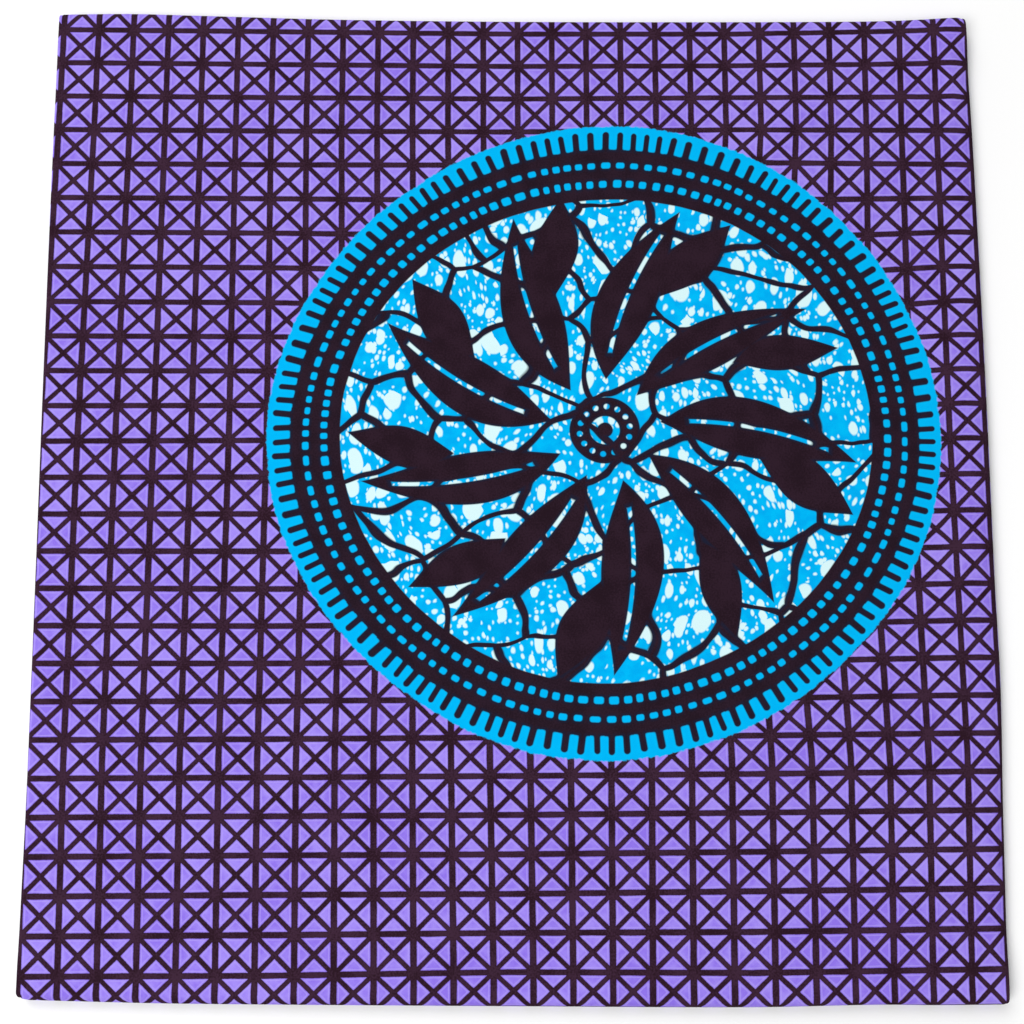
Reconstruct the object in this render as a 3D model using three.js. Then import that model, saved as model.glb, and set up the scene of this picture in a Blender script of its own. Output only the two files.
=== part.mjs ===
// Wax print cotton: one uncut length, doubled across its width, rolled flat into a pack and laid down.
// Millimetres: +X to the right, +Y away from the front edge, +Z up, and the origin under the pack's middle.
// The outer turn is one wall that runs along the underside, round the near turn, over the top and round
// the far turn. The turns that it hides are one solid, with an edge for each folded layer.

import * as THREE from "three";

// Driving sizes of the pack
const PACK_HEIGHT = 10;
const CLOTH_WALL = 1.1; // two plies of cotton with the air between them
const LAYER_GAP = 0.3;
const HALF_WIDTH = 290; // the plain rectangle that the outline is worked out from
const HALF_DEPTH = 300;
const FAR_TURN_SQUARENESS = 3; // 2 is a half circle, and more is a fold pressed squarer
const NEAR_TURN_SQUARENESS = 2;
const CUT_END_Y = 238; // where the length's cut end lies on the underside
const CUT_END_SLIT = 2.5; // between the cut end and the turn that goes in over it

// How far the side edges lie from the middle, front to back
const SIDE_EDGES = [
  { y: -300, left: -280.8, right: 283.3 },
  { y: -250, left: -281.4, right: 285.5 },
  { y: -190, left: -282.0, right: 287.3 },
  { y: -120, left: -283.4, right: 289.8 },
  { y: -60, left: -284.7, right: 289.8 },
  { y: 50, left: -287.2, right: 290.9 },
  { y: 180, left: -289.8, right: 291.3 },
  { y: 250, left: -290.9, right: 290.9 },
  { y: 300, left: -291.3, right: 288.9 },
];

// How far the two turns lie from the middle, left to right
const TURN_EDGES = [
  { x: -290, near: -301.35, far: 303.45 },
  { x: -245, near: -302.35, far: 304.05 },
  { x: -200, near: -303.15, far: 302.95 },
  { x: -110, near: -303.65, far: 300.55 },
  { x: 5, near: -303.95, far: 299.55 },
  { x: 140, near: -304.05, far: 299.85 },
  { x: 215, near: -302.45, far: 300.45 },
  { x: 250, near: -302.55, far: 301.25 },
  { x: 290, near: -302.05, far: 303.25 },
];

// Corners seen from above: side is -1 on the left, end is -1 at the front
const CORNERS = [
  { side: -1, end: 1, radius: 3 },
  { side: 1, end: 1, radius: 5 },
  { side: 1, end: -1, radius: 2.5 },
  { side: -1, end: -1, radius: 5 },
];

// The top panel's side edges roll down over the layers below them
const SIDE_ROLLS = {
  left: { radius: 2.6, degrees: 45 },
  right: { radius: 4.2, degrees: 75 },
};
const ROLL_OPENS_OVER = 45; // the roll flattens out over this length before each turn

// Soft swells of the top, with the height that each adds in its middle
const SWELLS = [
  { x: -150, y: 190, reachX: 120, reachY: 90, lift: 0.35 },
  { x: -190, y: -120, reachX: 100, reachY: 130, lift: -0.3 },
  { x: 40, y: -215, reachX: 170, reachY: 45, lift: 0.4 },
  { x: 200, y: -60, reachX: 90, reachY: 130, lift: 0.3 },
  { x: 90, y: 170, reachX: 110, reachY: 70, lift: -0.25 },
  { x: 282, y: 292, reachX: 34, reachY: 26, lift: 1.1 },
];

// Hidden turns from the outermost in, then the panel in the middle: how far their edges stand back
const HIDDEN_EDGES = [
  { left: 1.7, right: 2.2 },
  { left: 2.7, right: 2.9 },
  { left: 1.9, right: 2.4 },
  { left: 3.0, right: 3.3 },
];
const EDGE_VALLEY = 0.6; // depth of the groove between two layers
const EDGE_CRESTS = [0.28, 0.72]; // where an edge stands out, as shares of its layer

// Steps of the meshes
const TOP_STEPS = 14;
const TURN_STEPS = 8;
const ACROSS_STEPS = 12;
const ROLL_STEPS = { left: 3, right: 5 };
const EDGE_INSETS = [0, 1.2, 2.6]; // extra steps across, close to the side edges

const MIDDLE = PACK_HEIGHT / 2;
const WALL_HALF_HEIGHT = MIDDLE - CLOTH_WALL / 2;
const STACK_HALF_HEIGHT = MIDDLE - CLOTH_WALL - LAYER_GAP;
const TURN_CENTRE = HALF_DEPTH - MIDDLE;
const LAYER_PITCH = (2 * STACK_HALF_HEIGHT) / (2 * HIDDEN_EDGES.length - 1);

const smoothStep = (t) => t * t * (3 - 2 * t);
const share = (value, from, to) => THREE.MathUtils.clamp((value - from) / (to - from), 0, 1);

// Smooth value of one column of a table, with the slope at a row taken from the rows beside it
function tableAt(rows, key, at, column) {
  const last = rows.length - 1;
  let i = 0;
  while (i < last - 1 && at > rows[i + 1][key]) i += 1;
  const slope = (n) => {
    const before = rows[Math.max(n - 1, 0)];
    const after = rows[Math.min(n + 1, last)];
    return (after[column] - before[column]) / (after[key] - before[key]);
  };
  const span = rows[i + 1][key] - rows[i][key];
  const t = share(at, rows[i][key], rows[i + 1][key]);
  const ease = smoothStep(t);
  const bend = t * (1 - t) * span * ((1 - t) * slope(i) - t * slope(i + 1));
  return rows[i][column] * (1 - ease) + rows[i + 1][column] * ease + bend;
}

// A point near a corner of the plain rectangle moves in to the corner's round
function roundCorner(x, y) {
  const corner = CORNERS.find((c) => c.side * x >= 0 && c.end * y >= 0);
  const inX = 1 - (HALF_WIDTH - Math.abs(x)) / corner.radius;
  const inY = 1 - (HALF_DEPTH - Math.abs(y)) / corner.radius;
  if (inX <= 0 || inY <= 0) return [x, y];
  const pull = (1 - Math.max(inX, inY) / Math.hypot(inX, inY)) * corner.radius;
  return [x - corner.side * inX * pull, y - corner.end * inY * pull];
}

function swellAt(x, y) {
  return SWELLS.reduce((sum, s) => {
    const away = ((x - s.x) / s.reachX) ** 2 + ((y - s.y) / s.reachY) ** 2;
    return sum + s.lift * Math.exp(-away);
  }, 0);
}

// From the plain pack to the real one: the outline and the swells are applied, and the underside stays flat
function place(x, y, z) {
  const [roundX, roundY] = roundCorner(x, y);
  const left = tableAt(SIDE_EDGES, "y", roundY, "left");
  const right = tableAt(SIDE_EDGES, "y", roundY, "right");
  const near = tableAt(TURN_EDGES, "x", roundX, "near");
  const far = tableAt(TURN_EDGES, "x", roundX, "far");
  const realX = THREE.MathUtils.mapLinear(roundX, -HALF_WIDTH, HALF_WIDTH, left, right);
  const realY = THREE.MathUtils.mapLinear(roundY, -HALF_DEPTH, HALF_DEPTH, near, far);
  const raised = swellAt(realX, realY) * share(z, CLOTH_WALL, PACK_HEIGHT);
  return new THREE.Vector3(realX, realY, z + raised);
}

// The roll of the top panel's edge at a distance along the pack: its angle, radius and where it starts
function rollAt(sideName, y, amount) {
  const { radius, degrees } = SIDE_ROLLS[sideName];
  const full = THREE.MathUtils.degToRad(degrees);
  const closed = share(TURN_CENTRE - Math.abs(y), 0, ROLL_OPENS_OVER);
  const angle = Math.max(full * amount * smoothStep(closed), 0.001);
  const arc = radius * full;
  const bend = arc / angle;
  return { angle, bend, start: HALF_WIDTH - CLOTH_WALL / 2 - bend * Math.sin(angle) };
}

// Points of one turn, from one height of the pack to the other, its round squarer where it is pressed
function turnPoints(end, halfHeight, squareness) {
  const points = [];
  for (let i = 1; i < TURN_STEPS; i += 1) {
    const angle = Math.PI * (i / TURN_STEPS - 0.5);
    const out = Math.abs(Math.cos(angle)) ** (2 / squareness);
    const up = Math.sign(angle) * Math.abs(Math.sin(angle)) ** (2 / squareness);
    points.push({ y: end * (TURN_CENTRE + halfHeight * out), z: MIDDLE - end * halfHeight * up, roll: 0 });
  }
  return points;
}

// Steps from one value to another, shorter towards both ends
function easedSteps(from, to, steps) {
  return Array.from({ length: steps + 1 }, (_, i) => {
    const t = (1 - Math.cos((Math.PI * i) / steps)) / 2;
    return THREE.MathUtils.lerp(from, to, t);
  });
}

// Places across the flat part of a layer, with its side edges' own steps
function acrossSteps(left, right) {
  const leftOnes = EDGE_INSETS.map((inset) => left + inset);
  const rightOnes = EDGE_INSETS.map((inset) => right - inset).reverse();
  const between = easedSteps(leftOnes.at(-1), rightOnes[0], ACROSS_STEPS).slice(1, -1);
  return [...leftOnes, ...between, ...rightOnes];
}

function runPoints(from, to, z, steps, roll) {
  return easedSteps(from, to, steps).map((y) => ({ y, z, roll }));
}

// One level of the pack from its side: the near turn, the top, the far turn and what runs below
function sideLoop(halfHeight, under) {
  return [
    ...turnPoints(-1, halfHeight, NEAR_TURN_SQUARENESS),
    ...runPoints(-TURN_CENTRE, TURN_CENTRE, MIDDLE + halfHeight, TOP_STEPS, 1),
    ...turnPoints(1, halfHeight, FAR_TURN_SQUARENESS),
    ...runPoints(under.from, under.to, MIDDLE - halfHeight, under.steps, 0),
  ];
}

// The outer turn's middle surface crosswise: left roll, flat and right roll, at each step of its path
function outerTurnRows() {
  const floorZ = MIDDLE - WALL_HALF_HEIGHT;
  const path = [
    ...runPoints(CUT_END_Y, -TURN_CENTRE, floorZ, TOP_STEPS, 0),
    ...sideLoop(WALL_HALF_HEIGHT, { from: TURN_CENTRE, to: CUT_END_Y + CUT_END_SLIT, steps: 3 }),
  ];
  return path.map(({ y, z, roll }) => {
    const left = rollAt("left", y, roll);
    const right = rollAt("right", y, roll);
    const row = [];
    for (let i = ROLL_STEPS.left; i > 0; i -= 1) {
      const angle = (left.angle * i) / ROLL_STEPS.left;
      const drop = left.bend * (1 - Math.cos(angle));
      row.push(place(-left.start - left.bend * Math.sin(angle), y, z - drop));
    }
    acrossSteps(-left.start, right.start).forEach((x) => row.push(place(x, y, z)));
    for (let i = 1; i <= ROLL_STEPS.right; i += 1) {
      const angle = (right.angle * i) / ROLL_STEPS.right;
      const drop = right.bend * (1 - Math.cos(angle));
      row.push(place(right.start + right.bend * Math.sin(angle), y, z - drop));
    }
    return row;
  });
}

function solidFrom(points, triangles) {
  const geometry = new THREE.BufferGeometry();
  geometry.setAttribute("position", new THREE.Float32BufferAttribute(points.flatMap((p) => p.toArray()), 3));
  geometry.setIndex(triangles);
  geometry.computeVertexNormals();
  return geometry;
}

// A wall of cloth about its middle surface, with the folded or cut edges rounded
function clothWall(rows) {
  const lastRow = rows.length - 1;
  const lastPlace = rows[0].length - 1;
  const half = CLOTH_WALL / 2;
  const middle = (i, j) => rows[Math.min(Math.max(i, 0), lastRow)][Math.min(Math.max(j, 0), lastPlace)];
  const normalAt = (i, j) => {
    const along = middle(i + 1, j).clone().sub(middle(i - 1, j));
    const across = middle(i, j + 1).clone().sub(middle(i, j - 1));
    return along.cross(across).normalize();
  };
  const points = [];
  const skins = [half, -half].map((offset) => rows.map((row, i) => row.map((point, j) => {
    points.push(point.clone().addScaledVector(normalAt(i, j), offset));
    return points.length - 1;
  })));
  const triangles = [];
  const quad = (a, b, c, d) => triangles.push(a, b, c, a, c, d);
  const [first, second] = skins;
  for (let i = 0; i < lastRow; i += 1) {
    for (let j = 0; j < lastPlace; j += 1) {
      quad(first[i][j], first[i + 1][j], first[i + 1][j + 1], first[i][j + 1]);
      quad(second[i][j], second[i][j + 1], second[i + 1][j + 1], second[i + 1][j]);
    }
  }
  const border = [];
  for (let i = 0; i < lastRow; i += 1) border.push([i, 0]);
  for (let j = 0; j < lastPlace; j += 1) border.push([lastRow, j]);
  for (let i = lastRow; i > 0; i -= 1) border.push([i, lastPlace]);
  for (let j = lastPlace; j > 0; j -= 1) border.push([0, j]);
  const rim = border.map(([i, j]) => {
    const inwardI = Math.min(Math.max(i, 1), lastRow - 1);
    const inwardJ = Math.min(Math.max(j, 1), lastPlace - 1);
    const outward = middle(i, j).clone().sub(middle(inwardI, j)).normalize();
    outward.add(middle(i, j).clone().sub(middle(i, inwardJ)).normalize()).normalize();
    points.push(middle(i, j).clone().addScaledVector(outward, half));
    return points.length - 1;
  });
  border.forEach(([i, j], n) => {
    const next = (n + 1) % border.length;
    const [nextI, nextJ] = border[next];
    quad(first[i][j], rim[n], rim[next], first[nextI][nextJ]);
    quad(rim[n], second[i][j], second[nextI][nextJ], rim[next]);
  });
  return solidFrom(points, triangles);
}

// The height of the hidden layers, as a share of the full one, under the top panel's rolled edge
function heightUnderRoll(x, y) {
  const { angle, bend, start } = rollAt(x < 0 ? "left" : "right", y, 1);
  const past = Math.abs(x) - start;
  if (past <= 0) return 1;
  const inside = bend - CLOTH_WALL / 2;
  const slope = Math.asin(Math.min(past / inside, Math.sin(angle)));
  const drop = inside * (1 - Math.cos(slope)) + LAYER_GAP * (1 / Math.cos(slope) - 1);
  return 1 - drop / (2 * STACK_HALF_HEIGHT);
}

// A ring of points round the hidden layers, at one height and one distance from the middle
function stackRing(halfHeight, x) {
  const under = { from: TURN_CENTRE, to: -TURN_CENTRE, steps: TOP_STEPS };
  const floorZ = MIDDLE - STACK_HALF_HEIGHT;
  return sideLoop(halfHeight, under).map(({ y, z }) => {
    const squeezed = floorZ + (z - floorZ) * heightUnderRoll(x, y);
    return place(x, y, squeezed);
  });
}

// The rings of one side's folded edges, from the outermost layer to the middle one, which has half a ridge
function edgeRings(side, column) {
  return HIDDEN_EDGES.flatMap((edge, layer) => {
    const outerEdge = HALF_WIDTH - edge[column];
    const halfHeight = STACK_HALF_HEIGHT - layer * LAYER_PITCH;
    const crests = layer === HIDDEN_EDGES.length - 1 ? EDGE_CRESTS.slice(0, 1) : EDGE_CRESTS;
    const valley = layer > 0 ? [stackRing(halfHeight, side * (outerEdge - EDGE_VALLEY))] : [];
    return [...valley, ...crests.map((crest) => stackRing(halfHeight - crest * LAYER_PITCH, side * outerEdge))];
  });
}

function hiddenLayers() {
  const reach = (column) => HALF_WIDTH - HIDDEN_EDGES[0][column] - EDGE_VALLEY;
  const rings = [
    ...edgeRings(-1, "left").reverse(),
    ...acrossSteps(-reach("left"), reach("right")).map((x) => stackRing(STACK_HALF_HEIGHT, x)),
    ...edgeRings(1, "right"),
  ];
  const size = rings[0].length;
  const triangles = [];
  for (let r = 0; r < rings.length - 1; r += 1) {
    for (let i = 0; i < size; i += 1) {
      const a = r * size + i;
      const b = r * size + ((i + 1) % size);
      triangles.push(a, b + size, b, a, a + size, b + size);
    }
  }
  const closeEnd = (offset, order) => {
    const nearTip = TURN_STEPS / 2 - 1;
    const below = (k) => offset + ((nearTip - k + size) % size);
    const above = (k) => offset + ((nearTip + k) % size);
    for (let k = 0; k < size / 2; k += 1) {
      const corners = [above(k), below(k), below(k + 1), above(k + 1)];
      if (k > 0) triangles.push(...order.map((n) => corners[n]));
      if (k < size / 2 - 1) triangles.push(...order.map((n) => corners[[0, 2, 3][n]]));
    }
  };
  closeEnd(0, [0, 2, 1]);
  closeEnd((rings.length - 1) * size, [0, 1, 2]);
  return solidFrom(rings.flat(), triangles);
}

function cotton(colour) {
  return new THREE.MeshStandardMaterial({ color: colour, roughness: 0.85, metalness: 0 });
}

function node(name, geometry, colour) {
  const mesh = new THREE.Mesh(geometry, cotton(colour));
  mesh.name = name;
  return mesh;
}

const pack = new THREE.Group();
pack.add(node("outer_turn", clothWall(outerTurnRows()), 0x7a63b8));
pack.add(node("inner_layers", hiddenLayers(), 0x5b4584));

export default pack;
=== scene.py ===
"""Folded wax print cotton: its printed outer turn, the turns inside, the threads of its cut end, a stage."""

import math

import bpy
import numpy as np
from bpy.props import FloatProperty, FloatVectorProperty, IntProperty, PointerProperty
from mathutils import Matrix, Vector


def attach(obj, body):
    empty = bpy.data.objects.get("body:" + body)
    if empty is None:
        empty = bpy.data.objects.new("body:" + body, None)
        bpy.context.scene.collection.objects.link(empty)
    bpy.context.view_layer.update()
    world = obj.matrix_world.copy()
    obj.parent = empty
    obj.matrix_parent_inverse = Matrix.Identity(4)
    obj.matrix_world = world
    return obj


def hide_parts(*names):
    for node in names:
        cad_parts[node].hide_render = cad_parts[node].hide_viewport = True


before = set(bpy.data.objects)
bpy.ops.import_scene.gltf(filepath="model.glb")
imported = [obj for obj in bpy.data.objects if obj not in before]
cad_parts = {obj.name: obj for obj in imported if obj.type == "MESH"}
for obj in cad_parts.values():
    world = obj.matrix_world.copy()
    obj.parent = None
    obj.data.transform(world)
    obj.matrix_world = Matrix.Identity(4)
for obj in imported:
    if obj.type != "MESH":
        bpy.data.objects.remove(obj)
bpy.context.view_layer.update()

bl_info = {
    "name": "Folded Wax Print Cotton",
    "version": (1, 0, 0),
    "blender": (4, 5, 0),
    "location": "3D View > Sidebar > Wax Print",
    "description": "Builds a folded length of wax print cotton over its solids, with a plain stage",
    "category": "Object",
}

MM = 0.001


def table(columns, rows):
    """Rows of numbers, each with the names of its columns."""
    return [dict(zip(columns.split(), row)) for row in rows]


# The pack's own sizes, in metres: a plain rectangle that the outline is worked out from
PACK_HEIGHT = 10 * MM
CLOTH_WALL = 1.1 * MM
HALF_WIDTH = 290 * MM
HALF_DEPTH = 300 * MM
FAR_TURN_SQUARENESS = 3
NEAR_TURN_SQUARENESS = 2
CUT_END_Y = 238 * MM
HIDDEN_PLY = 0.9 * MM
PANELS = 9

MIDDLE = PACK_HEIGHT / 2
WALL_HALF_HEIGHT = MIDDLE - CLOTH_WALL / 2
TURN_CENTRE = HALF_DEPTH - MIDDLE
LEVEL_PITCH = 2 * WALL_HALF_HEIGHT / (PANELS - 1)
STACK_SLACK = 0.6 * MM
STACK_HEIGHT = PACK_HEIGHT - 2 * CLOTH_WALL - STACK_SLACK
# How far the outer turn tucks in past its cut end, and where the hidden turns go on from it
OUTER_TUCK = 30 * MM
HIDDEN_TUCK = 31 * MM

# Skins of the outer turn's wall, from its middle out and in, and where on the cloth the hidden turns begin
OUTER_SKIN = 0.55 * MM
INNER_SKIN = 0.40 * MM
HIDDEN_CLOTH_STARTS = 0.40
# Steps round each turn, how far in the columns by a hidden turn's edges lie, and how many lie evenly between
OUTER_TURN_STEPS = 16
HIDDEN_TURN_STEPS = 10
EDGE_INSETS = np.array([0, 0.8, 1.7, 2.8, 4.2, 6.2, 9.0]) * MM
EVEN_POINTS = 24

# How far the side edges lie from the middle, front to back
SIDE_EDGES = table("y left right", [
    (-0.3, -0.2808, 0.2833),
    (-0.25, -0.2814, 0.2855),
    (-0.19, -0.282, 0.2873),
    (-0.12, -0.2834, 0.2898),
    (-0.06, -0.2847, 0.2898),
    (0.05, -0.2872, 0.2909),
    (0.18, -0.2898, 0.2913),
    (0.25, -0.2909, 0.2909),
    (0.3, -0.2913, 0.2889),
])

# How far the two turns lie from the middle, left to right
TURN_EDGES = table("x near far", [
    (-0.29, -0.30135, 0.30345),
    (-0.245, -0.30235, 0.30405),
    (-0.2, -0.30315, 0.30295),
    (-0.11, -0.30365, 0.30055),
    (0.005, -0.30395, 0.29955),
    (0.14, -0.30405, 0.29985),
    (0.215, -0.30245, 0.30045),
    (0.25, -0.30255, 0.30125),
    (0.29, -0.30205, 0.30325),
])

# Corners seen from above: side is -1 on the left, end is -1 at the front
CORNERS = table("side end radius", [
    (-1, 1, 0.003),
    (1, 1, 0.005),
    (1, -1, 0.0025),
    (-1, -1, 0.005),
])

# The top panel's side edges roll down over the layers below them
SIDE_ROLLS = {
    "left": {"radius": 0.0026, "degrees": 45},
    "right": {"radius": 0.0040, "degrees": 75},
}
LEFT_ROLL_STEPS = 5
RIGHT_ROLL_STEPS = 9
ROLL_OPENS_OVER = 0.045
LEAST_ROLL = 0.001
# Before its right edge rolls down, the top panel falls away softly: where from the edge, and how far
RIGHT_SHOULDER = {"starts": 0.0118, "ends": 0.0010, "drop": 0.00135}

# Soft swells of the top, with the height that each adds in its middle
SWELLS = table("x y reach_x reach_y lift", [
    (-0.15, 0.19, 0.12, 0.09, 0.00035),
    (-0.19, -0.12, 0.1, 0.13, -0.0003),
    (0.04, -0.215, 0.17, 0.045, 0.0004),
    (0.2, -0.06, 0.09, 0.13, 0.0003),
    (0.09, 0.17, 0.11, 0.07, -0.00025),
    (0.282, 0.292, 0.034, 0.026, 0.0011),
])

# Creases wander from side to side: how far, as a share of their width, and how often
CREASE_WANDER = {"share": 0.25, "waves": 9, "shift": 40}
# Creases of the top panel: the middle, half length, half width, turn from +X and height of each
CREASES = table("x y long wide turn lift", [
    (-0.02, 0.09, 0.24, 0.006, 0.8, -0.0002),
    (0.03, 0.03, 0.21, 0.0075, -0.6, 0.0003),
    (-0.07, -0.118, 0.15, 0.006, 1.5, -0.00018),
    (0.278, 0.268, 0.042, 0.009, 93, 0.0009),
    (0.262, 0.262, 0.034, 0.005, 48, 0.00045),
    (0.243, 0.279, 0.028, 0.004, 22, -0.0002),
    (0.274, 0.236, 0.022, 0.0045, 74, 0.0003),
    (-0.268, 0.27, 0.026, 0.0045, -42, 0.00028),
    (-0.262, -0.268, 0.03, 0.005, 40, 0.0003),
    (0.255, -0.272, 0.027, 0.0045, -38, 0.00026),
    (0.272, 0.12, 0.02, 0.004, 12, -0.00018),
    (0.275, -0.035, 0.017, 0.005, -9, 0.00024),
    (0.271, -0.165, 0.024, 0.0045, 7, -0.00018),
    (-0.27, 0.06, 0.018, 0.0045, -8, 0.00022),
    (-0.268, -0.1, 0.023, 0.004, 11, -0.00016),
    (-0.12, -0.284, 0.02, 0.0055, 84, 0.00026),
    (0.06, -0.286, 0.016, 0.005, 97, 0.00022),
    (0.17, 0.283, 0.017, 0.005, 95, 0.00024),
    (-0.06, 0.284, 0.014, 0.0045, 88, -0.00018),
])

# Hidden turns from the outermost in, then the panel in the middle: how far their edges stand back
HIDDEN_EDGES = table("turn left right", [
    (1, 0.0017, 0.0022),
    (2, 0.0027, 0.0029),
    (3, 0.0019, 0.0024),
    (4, 0.003, 0.0033),
])

# Where the lattice's columns lie from left to right, in millimetres, at five distances along the cloth.
# One column more fits in behind the roundel than in front of it, and it drops out under the roundel.
# A fitting script worked this table and the next out from the photograph, and they are rounded to 0.5 mm.
COLUMN_STATIONS = {"far": 293, "behind": 228, "middle": 31, "before": -166, "near": -290}
COLUMN_LINES = table("cell far behind middle before near", [
    (0, -287.5, -287, -287, -284, -280),
    (4, -198.5, -197.5, -195, -193.5, -190.5),
    (8, -109, -108.5, -103.5, -103, -100.5),
    (12, -19.5, -19, -15.5, -12.5, -9.5),
    (16, 68, 68, 70.5, 82, 81),
    (20, 156.5, 156.5, 152.5, 175.5, 174),
    (24, 246.5, 245, 254.5, 266.5, 262.5),
    (26, 289.5, 289.5, 299, 308, 304),
])

# Where its rows lie from the far end to the near one, at five distances across the cloth
ROW_STATIONS = {"left": -281, "half_left": -141, "middle": -1, "half_right": 139, "right": 274}
ROW_LINES = table("cell left half_left middle half_right right", [
    (0, 291.5, 290.5, 289.5, 290, 293),
    (4, 201, 200.5, 201, 203.5, 202.5),
    (8, 111, 110.5, 107, 102, 113.5),
    (12, 23, 24, 21, 20.5, 27),
    (16, -66.5, -66.5, -65, -65.5, -61.5),
    (20, -155.5, -154.5, -153, -151.5, -149.5),
    (24, -244, -242.5, -241.5, -239.5, -237.5),
    (26, -288, -287, -284.5, -284.5, -282),
    (27, -309, -308, -305, -306, -303),
])

# Half widths of the lattice's printed lines and of the blot where they meet, and how round they join, in
# cells, and how soft their edge is
LATTICE_LINES = {"upright": 0.085, "level": 0.079, "diagonal": 0.065, "blot": 0.181, "join": 0.03}
LATTICE_EDGE = 0.02

# The roundel on the top panel
ROUNDEL_CENTRE = (0.0562, 0.0310)
ROUNDEL_HALF_LONG = 0.2039
ROUNDEL_HALF_SHORT = 0.1950
ROUNDEL_TURN = 0.155
# Its rim and the depth of its ring waver: how many lobes, how much and where each begins. A fitting script
# worked both tables out from the photograph, and they are rounded.
RIM_LOBES = table("lobes amount degrees", [
    (1, 0.0025, -179),
    (2, 0.001, -100),
    (3, 0.0035, -75),
    (4, 0.0065, 143),
    (5, 0.002, -122),
])
DEPTH_LOBES = table("lobes amount degrees", [
    (1, 0.037, -33),
    (2, 0.06, -75),
    (3, 0.02, -149),
    (4, 0.015, 106),
])
ROUNDEL_FAR_Y = 0.2278
ROUNDEL_NEAR_Y = -0.1663

# Its ring of teeth, two rows of small squares, disc and soft edge of the print, as shares of its radius
RING_STEP = 2 * math.pi / 133
TOOTH = {"half_wide": 0.0100, "root": 0.9303, "tip": 0.9735}
RING_ROWS = table("at tall wide seed", [
    (0.8831, 0.009, 0.0122, 0.31),
    (0.8274, 0.011, 0.0114, 0.12),
])
DISC_EDGE = 0.779
PRINT_EDGE = 0.0035

# Its disc: white flecks, leaves, branches and a heart. All but flecks and cells are shares of its radius
FLECKS = table("size least most share_of_cells", [
    (12.5 * MM, 0.22, 0.5, 0.46),
    (7.5 * MM, 0.16, 0.46, 0.52),
    (3.6 * MM, 0.16, 0.38, 0.56),
])
LEAF_RINGS = table("count first inner outer half_width twist", [
    (9, 0.5, 0.46, 0.77, 0.07, 0.5),
    (9, 0.0, 0.16, 0.745, 0.088, 0.5),
])
BRANCHES = {"cell": 33 * MM, "cell_share": 0.165, "half_wide": 0.0094}
LEAF_JOIN = 0.01
MIDRIB = {"half_wide": 0.0062, "half_long": 0.105, "leaf_length": 0.3}
HEART = {"edge": 0.105, "seeds": 14, "seed_row": 0.075, "seed": 0.0085, "eye": 0.034, "eye_line": 0.010}

# How high the row of loose threads along the cut end lies, and how far from the side edges it ends
THREADS_Z = 0.42 * MM
THREADS_INSET = 4 * MM
# Which input takes the least value and which output gives the result, for each kind of random value
RANDOM_SOCKETS = {"FLOAT": (2, 1), "FLOAT_VECTOR": (0, 0)}

# The floor lies this far under the cloth, so that the two don't share a face
FLOOR_GAP = 0.1 * MM

# Yarns of the plain weave, how high they and the small puckers stand, and the name of the cloth's material
YARN = 0.28 * MM
YARN_RELIEF = 0.00003
PUCKER_RELIEF = 0.0006
COTTON = "printed_cotton"

# The camera, at the photograph's angle to the cloth
CAMERA_LENS = 43.945
CAMERA_TARGET = (-0.00005, -0.0194, 0.009)
CAMERA_DISTANCE = 0.7527
CAMERA_TILT = math.radians(8.8)
CAMERA_ROLL = math.radians(0.2)

# Soft boxes: where they stand and how wide they are
KEY_LIGHT = {"at": (-1.90, 4.10, 3.80), "size": 4.85}
OVERHEAD_LIGHT = {"at": (-1.35, -1.10, 2.35), "size": 2.0}


def smooth_step(t):
    return t * t * (3 - 2 * t)


def share(value, start, end):
    return np.clip((value - start) / (end - start), 0, 1)


def table_at(rows, key, at, column):
    """Smooth value of one column of a table, with the slope at a row taken from the rows beside it."""
    keys = np.array([row[key] for row in rows], float)
    values = np.array([row[column] for row in rows], float)
    last = len(rows) - 1
    before = np.maximum(np.arange(last + 1) - 1, 0)
    after = np.minimum(np.arange(last + 1) + 1, last)
    slopes = (values[after] - values[before]) / (keys[after] - keys[before])
    i = np.clip(np.searchsorted(keys, at, side="right") - 1, 0, last - 1)
    span = keys[i + 1] - keys[i]
    t = np.clip((at - keys[i]) / span, 0, 1)
    ease = smooth_step(t)
    bend = t * (1 - t) * span * ((1 - t) * slopes[i] - t * slopes[i + 1])
    return values[i] * (1 - ease) + values[i + 1] * ease + bend


def round_corners(x, y):
    """Points near a corner of the plain rectangle move in to the corner's round."""
    x = x.copy()
    y = y.copy()
    for corner in CORNERS:
        radius = corner["radius"]
        in_x = 1 - (HALF_WIDTH - corner["side"] * x) / radius
        in_y = 1 - (HALF_DEPTH - corner["end"] * y) / radius
        near = (in_x > 0) & (in_y > 0)
        reach = np.hypot(in_x[near], in_y[near])
        pull = (1 - np.maximum(in_x[near], in_y[near]) / reach) * radius
        x[near] -= corner["side"] * in_x[near] * pull
        y[near] -= corner["end"] * in_y[near] * pull
    return x, y


def swell_at(x, y):
    total = np.zeros_like(x)
    for s in SWELLS:
        away = ((x - s["x"]) / s["reach_x"]) ** 2 + ((y - s["y"]) / s["reach_y"]) ** 2
        total += s["lift"] * np.exp(-away)
    return total


def crease_at(x, y):
    total = np.zeros_like(x)
    for c in CREASES:
        turn = math.radians(c["turn"])
        along = (x - c["x"]) * math.cos(turn) + (y - c["y"]) * math.sin(turn)
        across = (y - c["y"]) * math.cos(turn) - (x - c["x"]) * math.sin(turn)
        bends = np.sin(CREASE_WANDER["waves"] * along / c["long"] + CREASE_WANDER["shift"] * c["x"])
        wander = CREASE_WANDER["share"] * c["wide"] * bends
        profile = np.exp(-(((across - wander) / c["wide"]) ** 2) - (along / c["long"]) ** 4)
        total += c["lift"] * profile
    return total


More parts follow.
